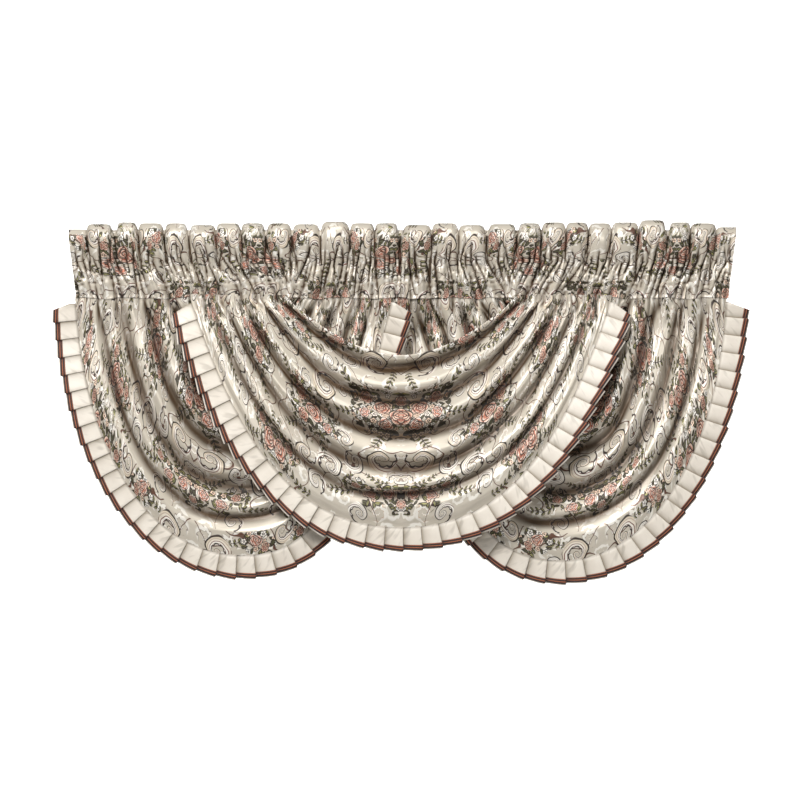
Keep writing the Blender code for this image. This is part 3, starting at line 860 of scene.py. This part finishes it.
# Sprigs: middle and half length in millimetres, and turn in radians
SPRIGS = [
    (118, 128, 40, -0.7), (132, 222, 40, 0.4), (48, 276, 36, 1.1), (168, 256, 34, -0.9),
    (276, 356, 40, 0.7), (302, 238, 36, -0.5), (56, 396, 32, -0.4), (142, 456, 38, 0.3),
    (222, 100, 38, 0.5), (250, 500, 36, -0.3), (22, 100, 32, 1.2), (196, 350, 34, 2.2),
    (116, 20, 32, -0.3), (330, 420, 30, 1.3),
]

# Scrolls: middle and radius in millimetres, turn in radians, hand (1 or -1), and a shade from 0, ivory with
# brown strokes, to 1, cream with rust strokes
SCROLLS = [
    (44, 334, 38, 0.3, 1, 0.9), (108, 358, 30, 2.0, -1, 0.2), (166, 400, 38, 4.0, 1, 0.3),
    (188, 192, 42, 1.0, -1, 0.9), (56, 52, 40, 5.0, 1, 0.8), (120, 72, 26, 3.0, -1, 0.1),
    (236, 408, 32, 0.0, 1, 0.8), (294, 300, 26, 2.4, 1, 0.2), (206, 466, 28, 5.5, -1, 0.2),
    (300, 164, 36, 3.6, 1, 0.7), (246, 216, 24, 1.4, -1, 0.2), (176, 110, 26, 0.7, 1, 0.2),
    (318, 10, 26, 4.4, -1, 0.2), (132, 306, 24, 2.9, 1, 0.7), (8, 390, 22, 3.3, 1, 0.2),
    (216, 16, 30, 1.9, -1, 0.9), (96, 498, 26, 4.2, 1, 0.2), (140, 176, 20, 0.2, -1, 0.1),
]

# The garlands' leaves: distance apart, length and width in metres, and the share of them left out
GARLAND_LEAVES = [(22 * MM, 23 * MM, 9.0 * MM, 0.10), (15 * MM, 15 * MM, 6 * MM, 0.25)]
BLOOM_APART, BLOOM_RADIUS, EYE_RADIUS = 18 * MM, 7.4 * MM, 2.0 * MM
CURL_APART, CURL_RADIUS, CURL_HEART = 52 * MM, (25 * MM, 20 * MM), (2 * MM, 4 * MM)


def nearest_copy(dye, place, copies):
    """The place within the nearest of a motif's copies, in the motif's own units, where its radius is 1:
    local x and y, and the copy's shade. place is the vector (x, y, 1), so that one dot product turns, scales
    and shifts it."""
    nearest, least = None, None
    for along, down, radius, turn, hand, tint in copies:
        x, y, size = along * MM, down * MM, radius * MM
        c, s = math.cos(turn) / size, math.sin(turn) / size
        u = dye.vector_math("DOT_PRODUCT", place, (c, s, -(x * c + y * s)))
        v = dye.vector_math("DOT_PRODUCT", place, (-s * hand, c * hand, (x * s - y * c) * hand))
        local = dye.vector(u, v, TINT_SCALE * tint)
        distance = dye.vector_math("LENGTH", local)
        if nearest is None:
            nearest, least = local, distance
            continue
        closer = distance.math("LESS_THAN", least)
        mixer = dye.node("ShaderNodeMix", {"data_type": "VECTOR"}, {0: closer, 4: nearest, 5: local})
        nearest, least = mixer.outputs[1], least.least(distance)
    x, y, tint = dye.parts_of(nearest)
    return x, y, tint / TINT_SCALE


def rose(dye, x, y, tint):
    """A rose of unit radius: its colour, how far a place is inside it, and its drawn lines. Four rings of
    petals lie on each other; a ring ends at r = R(0.86 + 0.16 |cos(n a / 2 + f)|) and pales outwards."""
    colour = inside = lines = None
    rings = ((1.00, 0.70, 5, 0.0), (0.74, 0.46, 5, 1.2), (0.50, 0.24, 4, 0.5), (0.27, 0.02, 3, 1.9))
    for k, (radius, inner, petals, start) in enumerate(rings):
        if k % 2 == 0:
            r, angle = dye.polar(x - 0.06 * k, y + 0.04 * k)
        lobe = abs((angle * (petals / 2) + (tint * 9.0 + start)).cos())
        edge = r - (lobe * (0.16 * radius) + 0.86 * radius)
        depth = r.smooth(inner, radius * 0.98) * lobe.smooth(0.0, 0.6)
        streaks = (angle * (petals * 5.0) + r * 9.0).sin() * 0.22
        petal = dye.blend(depth + streaks, dye.blend(tint, CORAL_DEEP, CORAL), dye.blend(tint, BLUSH, IVORY))
        cover = edge.smooth(0.02, -0.02)
        parting = lobe.smooth(0.16, 0.04) * cover * r.smooth(inner, inner + 0.08)
        line = abs(edge).smooth(0.075, 0.03).most(parting)
        if k == 0:
            colour, inside, lines = petal, cover, line
        else:
            colour = dye.blend(cover, colour, petal)
            lines = (lines * (1.0 - cover)).most(line)
    return colour, inside, lines


def sprig(dye, x, y):
    """A sprig of unit half length: how far inside its leaves a place is, its drawn lines, and the leaf's
    light side. Pairs of leaves, 0.34 apart, stand along the curved stem y = 0.08 - 0.22 x x."""
    bend = y + x * x * 0.22 - 0.08
    pair = (x * (1 / 0.34)).fract() * 0.34 - 0.10
    u, v = dye.turned(pair, abs(bend), 0.80)
    u = u - 0.17
    taper = abs(x).smooth(1.0, 0.75)
    edge = abs(v) - (1.0 - u * u * (1 / 0.165**2)) * 0.062 * taper
    inside = edge.smooth(0.008, -0.008) * taper
    line = abs(edge).smooth(0.028, 0.012).most(abs(v).smooth(0.012, 0.004) * inside)
    stem = abs(bend).smooth(0.028, 0.012)
    return inside, line.most(stem) * taper, v.smooth(-0.01, 0.01)


def scroll(dye, x, y):
    """A scroll of unit radius, a leaf wound on a spiral: how far inside it a place is, its outline, its
    strokes and the place w across it. It lies where w = fract(a / 2 pi - 0.62 ln r) is from 0.06 to 0.60,
    less teeth |sin(3.5 a + 5 r)| of 0.10."""
    r, angle = dye.polar(x, y)
    turns = angle * (1 / (2 * math.pi)) - r.math("LOGARITHM", math.e) * 0.62
    w = turns.fract()
    tooth = abs((angle * 3.5 + r * 5.0).sin()) * 0.10
    reach = r.smooth(1.0, 0.93) * r.smooth(0.07, 0.11)
    low, high = w - 0.06, 0.60 - w - tooth
    edge = low.least(high)
    inside = edge.smooth(-0.012, 0.012) * reach
    strokes = (w * 42.0 + angle * 0.6).sin().smooth(0.45, 0.8) * inside * w.smooth(0.10, 0.30)
    return inside, abs(edge).smooth(0.064, 0.028) * reach, strokes, w


def leaf(x, y, length, width):
    """A leaf along x from -length/2 to length/2, where |y| < 2 width q(1 - q): how far inside it a place is,
    and its outline and rib."""
    q = x / length + 0.5
    edge = abs(y) - q * (1.0 - q) * (2.0 * width)
    inside = edge.smooth(0.3 * MM, -0.3 * MM)
    rib = abs(y).smooth(0.8 * LINE, 0.3 * LINE) * inside
    return inside, abs(edge).smooth(1.7 * LINE, 0.5 * LINE).most(rib)


def figured(dye, along, down):
    """The woven figure at a place on the flat cloth: its colour, and how much of it is figure, not ground.
    From the ground up it has tone-on-tone curls, vines, scrolls, sprigs, leaves, small blooms and roses."""
    x = along.math("PINGPONG", HALF_REPEAT)
    y = down.math("WRAP", REPEAT_DOWN, 0.0)
    even = dye.vector(x, y)
    drift = dye.noise(even, 24.0, 1.0)
    drift_down = dye.noise(dye.vector(y + 3.1, x), 24.0, 1.0)
    x, y = x + (drift - 0.5) * WANDER, y + (drift_down - 0.5) * WANDER
    place = dye.vector(x, y, 1.0)

    settings = bpy.context.scene.valance
    colour = dye.blend(dye.noise(even, 9.0, 3.0), settings.ground_colour[:], settings.light_colour[:])

    local_x, local_y, chances = dye.cells(x, y, CURL_APART, 0.7)
    r, angle = dye.polar(local_x, local_y)
    curl = (angle + r.math("LOGARITHM", math.e) * 3.6 + chances[0] * TURN).sin()
    feather = curl + (angle * 9.0 + r * 400.0).sin() * 0.34
    reach = r.smooth(*CURL_RADIUS) * r.smooth(*CURL_HEART)
    damask = feather.smooth(0.30, 0.50) * reach
    trace = abs(feather - 0.34).smooth(0.26, 0.10) * reach * chances[1].smooth(0.30, 0.45)
    colour = dye.blend(damask * 0.85, colour, IVORY)
    colour = dye.blend(trace * 0.6, colour, dye.blend(chances[2], TAN, BROWN))
    figure = damask * 0.6

    vine = abs(dye.noise(place, 13.0, 0.0) - 0.5).smooth(0.0130, 0.0060)
    colour = dye.blend(vine, colour, BROWN)

    u, v, tint = nearest_copy(dye, place, SCROLLS)
    inside, lines, strokes, w = scroll(dye, u, v)
    fill = dye.blend(tint, IVORY, dye.blend(w.smooth(0.05, 0.5), CREAM, IVORY))
    colour = dye.blend(inside, colour, fill)
    colour = dye.blend(strokes, colour, dye.blend(tint, BROWN, RUST))
    colour = dye.blend(lines, colour, OUTLINE)
    figure = figure.most(inside.most(lines))

    u, v, _ = nearest_copy(dye, place, [(*copy, 1, 0.0) for copy in SPRIGS])
    inside, lines, light = sprig(dye, u, v)
    colour = dye.blend(inside, colour, dye.blend(light, OLIVE, LIME))
    colour = dye.blend(lines, colour, OUTLINE)
    figure = figure.most(inside.most(lines))

    u, v, tint = nearest_copy(dye, place, [(*copy[:3], 0.0, 1, copy[3]) for copy in ROSES])
    near = dye.polar(u, v)[0]
    garland = (near + (drift_down - 0.5) * 2.4).smooth(2.6, 2.3)
    for size, length, width, share in GARLAND_LEAVES:
        local_x, local_y, chances = dye.cells(x + size, y, size, 0.75)
        leaf_x, leaf_y = dye.turned(local_x, local_y, chances[0] * TURN)
        inside, lines = leaf(leaf_x, leaf_y, length, width)
        shown = garland * chances[1].smooth(share - 0.02, share + 0.02)
        halves = dye.blend(leaf_y.smooth(-0.5 * MM, 0.5 * MM), SAGE, LIME)
        fill = dye.blend(chances[2].smooth(0.45, 0.55), OLIVE, halves)
        colour = dye.blend(inside * shown, colour, fill)
        colour = dye.blend(lines * shown, colour, OUTLINE)
        figure = figure.most(inside.most(lines) * shown)

    local_x, local_y, chances = dye.cells(x, y + 0.4, BLOOM_APART, 0.8)
    r, angle = dye.polar(local_x, local_y)
    petals = r - (0.62 + 0.38 * abs((angle * 2.5 + chances[0] * TURN).cos())) * BLOOM_RADIUS
    bloom_zone = (near + (drift - 0.5) * 2.0).smooth(2.4, 2.1) * chances[1].smooth(0.44, 0.48)
    inside = petals.smooth(0.3 * MM, -0.3 * MM) * bloom_zone
    eye = abs(r - EYE_RADIUS).smooth(1.3 * LINE, 0.4 * LINE)
    lines = abs(petals).smooth(1.5 * LINE, 0.4 * LINE).most(eye) * bloom_zone
    colour = dye.blend(inside, colour, dye.blend(chances[2].smooth(0.5, 0.6), IVORY, BLUSH))
    colour = dye.blend(lines, colour, OUTLINE)
    figure = figure.most(inside.most(lines))

    petal_colour, inside, lines = rose(dye, u, v, tint)
    colour = dye.blend(inside, colour, petal_colour)
    colour = dye.blend(lines * 0.95, colour, OUTLINE)
    return colour, figure.most(inside.most(lines))


def satin_weave(dye, along, down, pitch=0.9 * MM):
    """The relief of a satin weave, 0 to 1: fine threads across, broken into short floats."""
    threads = (down * (2 * math.pi / pitch)).sin()
    floats = (along * (2 * math.pi / (5 * pitch)) + (down / pitch).floor() * 2.4).sin()
    return threads * 0.35 + floats * 0.15 + 0.5


def figured_cloth():
    """Champagne satin with the woven figure, which is rougher than the ground, with painted shade in the
    folds.
    """
    dye = Dye("Figured satin")
    along, down = dye.flat_place()
    colour, figure = figured(dye, along, down)
    slub = dye.noise(dye.vector(along * 40.0, down * 900.0), 1.0, 2.0)
    colour = dye.blend(slub.smooth(0.35, 0.75) * 0.10, colour, SLUB)
    # Painted shade in the folds
    colour = dye.with_painted_shade(colour, PAINTED_FOLD_SHADE)
    roughness = figure * 0.14 + 0.34
    height = satin_weave(dye, along, down)
    sheen = {"Metallic": 0.24, "Specular_IOR_Level": 0.35}
    return dye.finish(colour, roughness, height, 0.03 * MM, **sheen)


def reverse_cloth():
    """The back of the figured satin: duller, with the figure showing only as soft floats."""
    dye = Dye("Figured satin reverse")
    along, down = dye.flat_place()
    x = along.math("PINGPONG", HALF_REPEAT)
    y = down.math("WRAP", REPEAT_DOWN, 0.0)
    local_x, local_y, chances = dye.cells(x, y, 30 * MM, 0.9)
    r, angle = dye.polar(local_x, local_y)
    blot = (r + (angle * 3.0 + chances[0] * 6.0).sin() * (3 * MM)).smooth(11 * MM, 7 * MM)
    blot = blot * chances[1].smooth(0.4, 0.6)
    colour = dye.blend(dye.noise(dye.vector(x, y), 12.0, 3.0), REVERSE_GROUND, REVERSE_LIGHT)
    floats = dye.blend(chances[2].smooth(0.4, 0.6), REVERSE_WARM, REVERSE_GREEN)
    colour = dye.blend(blot * 0.5, colour, floats)
    return dye.finish(colour, 0.62, satin_weave(dye, down, along), 0.15 * MM, Sheen_Weight=0.1)


def frill_satin():
    """Ivory satin, with the soft puckers that run out from the sewn edge and painted shade in them, a
    painted shadow along the sewn edge, and painted shade under each pleat.
    """
    dye = Dye("Frill satin cloth")
    along, across = dye.flat_place()
    cloud = dye.noise(dye.vector(along, across), 30.0, 2.0)
    settings = bpy.context.scene.valance
    colour = dye.blend(cloud, settings.frill_colour[:], FRILL_LIGHT)
    pucker = dye.noise(dye.vector(along * 80.0 + across * 60.0, across * 30.0), 1.0, 1.0)
    fade = across.smooth(48 * MM, 4 * MM, 0.25, 1.0)
    # Painted shade in the puckers near the sewn edge; the bump raises them too
    colour = dye.blend(pucker.smooth(0.46, 0.24) * fade * 0.38, colour, PUCKER_PAINTED_SHADE)
    # A painted shadow along the sewn edge, where the frill lies under the swag's hem
    colour = dye.blend(across.smooth(5 * MM, 0.0) * 0.55, colour, FRILL_HEM_SHADOW)
    # Painted shade under each pleat
    colour = dye.with_painted_shade(colour, FRILL_PAINTED_SHADE)
    height = pucker * fade * 0.8 + satin_weave(dye, along, across, 0.8 * MM) * 0.08
    return dye.finish(colour, 0.40, height, 0.9 * MM, Sheen_Weight=0.1, Specular_IOR_Level=0.5)


def braid_weave():
    """Dark brown braid: two rust cords along it, twisted threads on the slant, and painted shade under each
    pleat.
    """
    dye = Dye("Braid weave")
    along, across = dye.flat_place()
    share = across / (BRAID_TO - BRAID_FROM)
    cords = (abs(share - 0.08).smooth(0.08, 0.04)).most(abs(share - 0.56).smooth(0.095, 0.05))
    twist = ((along + across) * (2 * math.pi / (1.5 * MM))).sin().smooth(-0.4, 0.7)
    settings = bpy.context.scene.valance
    dark = dye.blend(twist, settings.braid_colour[:], BRAID_BROWN)
    rust = dye.blend(twist, settings.cord_colour[:], CORD_LIGHT)
    # Painted shade under each pleat
    colour = dye.with_painted_shade(dye.blend(cords, dark, rust), BRAID_PAINTED_SHADE)
    height = cords * 0.6 + twist * 0.4
    return dye.finish(colour, 0.62, height, 0.35 * MM, Sheen_Weight=0.15)


# The settings, the operators and the panel

class ValanceSettings(bpy.types.PropertyGroup):
    """Thicknesses, colours and light that the operators read from the scene."""

    cloth_thickness: FloatProperty(
        name="Cloth thickness",
        description="Thickness of the figured satin",
        default=1.0 * MM,
        unit="LENGTH",
    )
    frill_thickness: FloatProperty(
        name="Frill thickness",
        description="Thickness of the frill's satin",
        default=0.6 * MM,
        unit="LENGTH",
    )
    braid_thickness: FloatProperty(
        name="Braid thickness",
        description="Thickness of the braid",
        default=0.6 * MM,
        unit="LENGTH",
    )
    ground_colour: FloatVectorProperty(
        name="Ground",
        description="Deeper colour of the figured satin's ground",
        default=GROUND,
        size=4,
        subtype="COLOR",
    )
    light_colour: FloatVectorProperty(
        name="Ground light",
        description="Lighter colour of the figured satin's ground",
        default=GROUND_LIGHT,
        size=4,
        subtype="COLOR",
    )
    frill_colour: FloatVectorProperty(
        name="Frill",
        description="Deeper colour of the frill's satin",
        default=FRILL,
        size=4,
        subtype="COLOR",
    )
    braid_colour: FloatVectorProperty(
        name="Braid",
        description="Darkest colour of the braid",
        default=BRAID_DARK,
        size=4,
        subtype="COLOR",
    )
    cord_colour: FloatVectorProperty(
        name="Cord",
        description="Deeper colour of the braid's two cords",
        default=CORD_RUST,
        size=4,
        subtype="COLOR",
    )
    backdrop_colour: FloatVectorProperty(
        name="Backdrop",
        description="Colour of the floor and the backdrop",
        default=WHITE,
        size=4,
        subtype="COLOR",
    )
    key_power: FloatProperty(
        name="Key light",
        description="Power of the soft light high on the left",
        default=215.0,
        subtype="POWER",
    )
    top_power: FloatProperty(
        name="Top light",
        description="Power of the soft light overhead",
        default=30.0,
        subtype="POWER",
    )
    fill_power: FloatProperty(
        name="Fill light",
        description="Power of the soft light on the right",
        default=42.0,
        subtype="POWER",
    )
    backdrop_power: FloatProperty(
        name="Backdrop lights",
        description="Power of each light on the backdrop",
        default=360.0,
        subtype="POWER",
    )


def materials_of(*makers):
    """The materials that the names and makers stand for, each made once."""
    made = []
    for name, maker in makers:
        made.append(bpy.data.materials.get(name) or maker())
    return made


FIGURED = ("Figured satin", figured_cloth)
REVERSE = ("Figured satin reverse", reverse_cloth)
FRILL_SATIN = ("Frill satin cloth", frill_satin)
BRAID = ("Braid weave", braid_weave)


class VALANCE_OT_heading(bpy.types.Operator):
    """Build the gathered rod-pocket heading"""

    bl_idname = "valance.heading"
    bl_label = "Heading"

    def execute(self, context):
        points, hidden = heading_surface()
        front_row = points[HEADING_FRONT_ROW]
        along = np.concatenate([[0.0], np.cumsum(np.linalg.norm(np.diff(front_row, axis=0), axis=1))])
        along = along + tucked_cloth(front_row[:, 0])
        profile = np.linalg.norm(np.diff(points[:, ::PROFILE_STEP], axis=0), axis=2).mean(axis=1)
        down = np.concatenate([[0.0], np.cumsum(profile)])
        along = along[None, :] * GATHERED + hidden
        figure_along, figure_down = HEADING_FIGURE
        flat = np.stack(np.broadcast_arrays(along + figure_along, figure_down - down[:, None]), axis=-1)
        thickness = context.scene.valance.cloth_thickness
        shadow = painted_fold_shade(points, HEADING_PAINTED_SHADE)
        materials = materials_of(FIGURED, REVERSE)
        heading = cloth_object("heading_cloth", points, flat, shadow, thickness, materials)
        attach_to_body(heading, "root")
        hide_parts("heading")
        return {"FINISHED"}


class VALANCE_OT_swags(bpy.types.Operator):
    """Build the three draped swags"""

    bl_idname = "valance.swags"
    bl_label = "Swags"

    def execute(self, context):
        thickness = context.scene.valance.cloth_thickness
        half = np.linspace(0.0, 1.0, FINE_COLUMNS // 2 + 1)
        half = 1.0 - (1.0 - half) ** SIDE_DENSER
        s = np.concatenate([-half[:0:-1], half])[None, :]
        t = np.concatenate([[-1.0, -0.5], np.linspace(0.0, 1.0, FINE_ROWS - 2)])[:, None]
        for swag in rows_of(SWAG_COLUMNS, SWAGS):
            points = swag_surface(swag, s, t)
            flat = sheet_lengths(points, FINE_COLUMNS // 2)
            flat[..., 0] += FIGURE_SHIFT[swag["name"]]
            name = "swag_" + swag["name"]
            shadow = painted_fold_shade(points, SWAG_PAINTED_SHADE)
            materials = materials_of(FIGURED, REVERSE)
            piece = cloth_object(name + "_cloth", points, flat, shadow, thickness, materials)
            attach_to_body(piece, "root")
            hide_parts(name)
        return {"FINISHED"}


class VALANCE_OT_frills(bpy.types.Operator):
    """Build the pleated frills and the braid sewn along each"""

    bl_idname = "valance.frills"
    bl_label = "Frills and braid"

    def execute(self, context):
        settings = context.scene.valance
        for swag in rows_of(SWAG_COLUMNS, SWAGS):
            _, _, pitch = frill_base(swag)
            across = np.concatenate([[TUCKED_ROW], np.linspace(SEAM_GAP, FRILL_WIDTH, FRILL_ROWS - 1)])
            points, shadow = strip_surface(swag, frill_path(pitch), across)
            flat = strip_lengths(points, across)
            name = "frill_" + swag["name"]
            materials = materials_of(FRILL_SATIN)
            frill = cloth_object(name + "_cloth", points, flat, shadow, settings.frill_thickness, materials)
            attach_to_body(frill, "root")
            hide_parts(name)

            across = np.linspace(BRAID_FROM, BRAID_TO, BRAID_ROWS)
            points, shadow = strip_surface(swag, braid_path(pitch), across)
            flat = strip_lengths(points, across - BRAID_FROM)
            name = "braid_" + swag["name"]
            materials = materials_of(BRAID)
            braid = cloth_object(name + "_strip", points, flat, shadow, settings.braid_thickness, materials)
            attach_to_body(braid, "root")
            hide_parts(name)
            sewn_on = ["swag_" + swag["name"]]
        return {"FINISHED"}


class VALANCE_OT_stage(bpy.types.Operator):
    """Set the backdrop, the lights and the camera"""

    bl_idname = "valance.stage"
    bl_label = "Stage"

    def execute(self, context):
        scene = context.scene
        settings = scene.valance
        paper = Dye("Backdrop paper")
        paper.finish(settings.backdrop_colour[:], PAPER_ROUGHNESS)
        backdrop = sweep_object("Backdrop", paper.material)

        world = bpy.data.worlds.new("Studio")
        world.use_nodes = True
        background = world.node_tree.nodes["Background"]
        background.inputs["Color"].default_value = WHITE
        background.inputs["Strength"].default_value = WORLD_STRENGTH
        scene.world = world

        for name, place, target, size, power in LIGHTS:
            add_light(name, place, target, size, getattr(settings, power))

        camera = bpy.data.objects.new("Camera", bpy.data.cameras.new("Camera"))
        camera.location = CAMERA_PLACE
        camera.rotation_euler = (math.pi / 2, 0.0, 0.0)
        camera.data.sensor_width = SENSOR
        camera.data.lens = SENSOR * -CAMERA_PLACE[1] / VIEW_WIDTH
        scene.collection.objects.link(camera)
        scene.camera = camera
        scene.view_settings.view_transform = "Standard"
        return {"FINISHED"}


def sweep_object(name, material):
    """A seamless sweep behind and below the valance: a floor, a quarter round and a wall."""
    turn = np.linspace(0.0, np.pi / 2, 24)
    back = WALL_PLACE - BACKDROP_ROUND * (1.0 - np.sin(turn))
    up = FLOOR_PLACE + BACKDROP_ROUND * (1.0 - np.cos(turn))
    y = np.concatenate([[FLOOR_FRONT], back, [WALL_PLACE]])
    z = np.concatenate([[FLOOR_PLACE], up, [WALL_TOP]])
    x = np.array([-BACKDROP_HALF, BACKDROP_HALF])
    points = np.stack(np.broadcast_arrays(x[None, :], y[:, None], z[:, None]), axis=-1)
    mesh = bpy.data.meshes.new(name)
    index = np.arange(points.shape[0] * 2).reshape(-1, 2)
    quads = np.stack([index[:-1, 0], index[:-1, 1], index[1:, 1], index[1:, 0]], axis=-1)
    mesh.from_pydata(points.reshape(-1, 3).tolist(), [], quads.tolist())
    mesh.shade_smooth()
    mesh.materials.append(material)
    obj = bpy.data.objects.new(name, mesh)
    bpy.context.scene.collection.objects.link(obj)
    return obj


def add_light(name, place, target, size, power):
    """A square area light at place, turned to its target."""
    light = bpy.data.lights.new(name, "AREA")
    light.size = size
    light.energy = power
    obj = bpy.data.objects.new(name, light)
    obj.location = place
    toward = Vector(target) - Vector(place)
    obj.rotation_euler = toward.to_track_quat("-Z", "Y").to_euler()
    bpy.context.scene.collection.objects.link(obj)
    return obj


class VALANCE_PT_panel(bpy.types.Panel):
    """The valance's pieces and settings"""

    bl_label = "Valance"
    bl_idname = "VALANCE_PT_panel"
    bl_space_type = "VIEW_3D"
    bl_region_type = "UI"
    bl_category = "Valance"

    def draw(self, context):
        settings = context.scene.valance
        for name in ValanceSettings.__annotations__:
            self.layout.prop(settings, name)
        for operator in OPERATORS:
            self.layout.operator(operator.bl_idname)


OPERATORS = (VALANCE_OT_heading, VALANCE_OT_swags, VALANCE_OT_frills, VALANCE_OT_stage)
CLASSES = (ValanceSettings, *OPERATORS, VALANCE_PT_panel)


def register():
    for cls in CLASSES:
        bpy.utils.register_class(cls)
    bpy.types.Scene.valance = PointerProperty(type=ValanceSettings)


def unregister():
    del bpy.types.Scene.valance
    for cls in reversed(CLASSES):
        bpy.utils.unregister_class(cls)


def main():
    register()
    bpy.ops.valance.heading()
    bpy.ops.valance.swags()
    bpy.ops.valance.frills()
    bpy.ops.valance.stage()


if __name__ == "__main__":
    main()
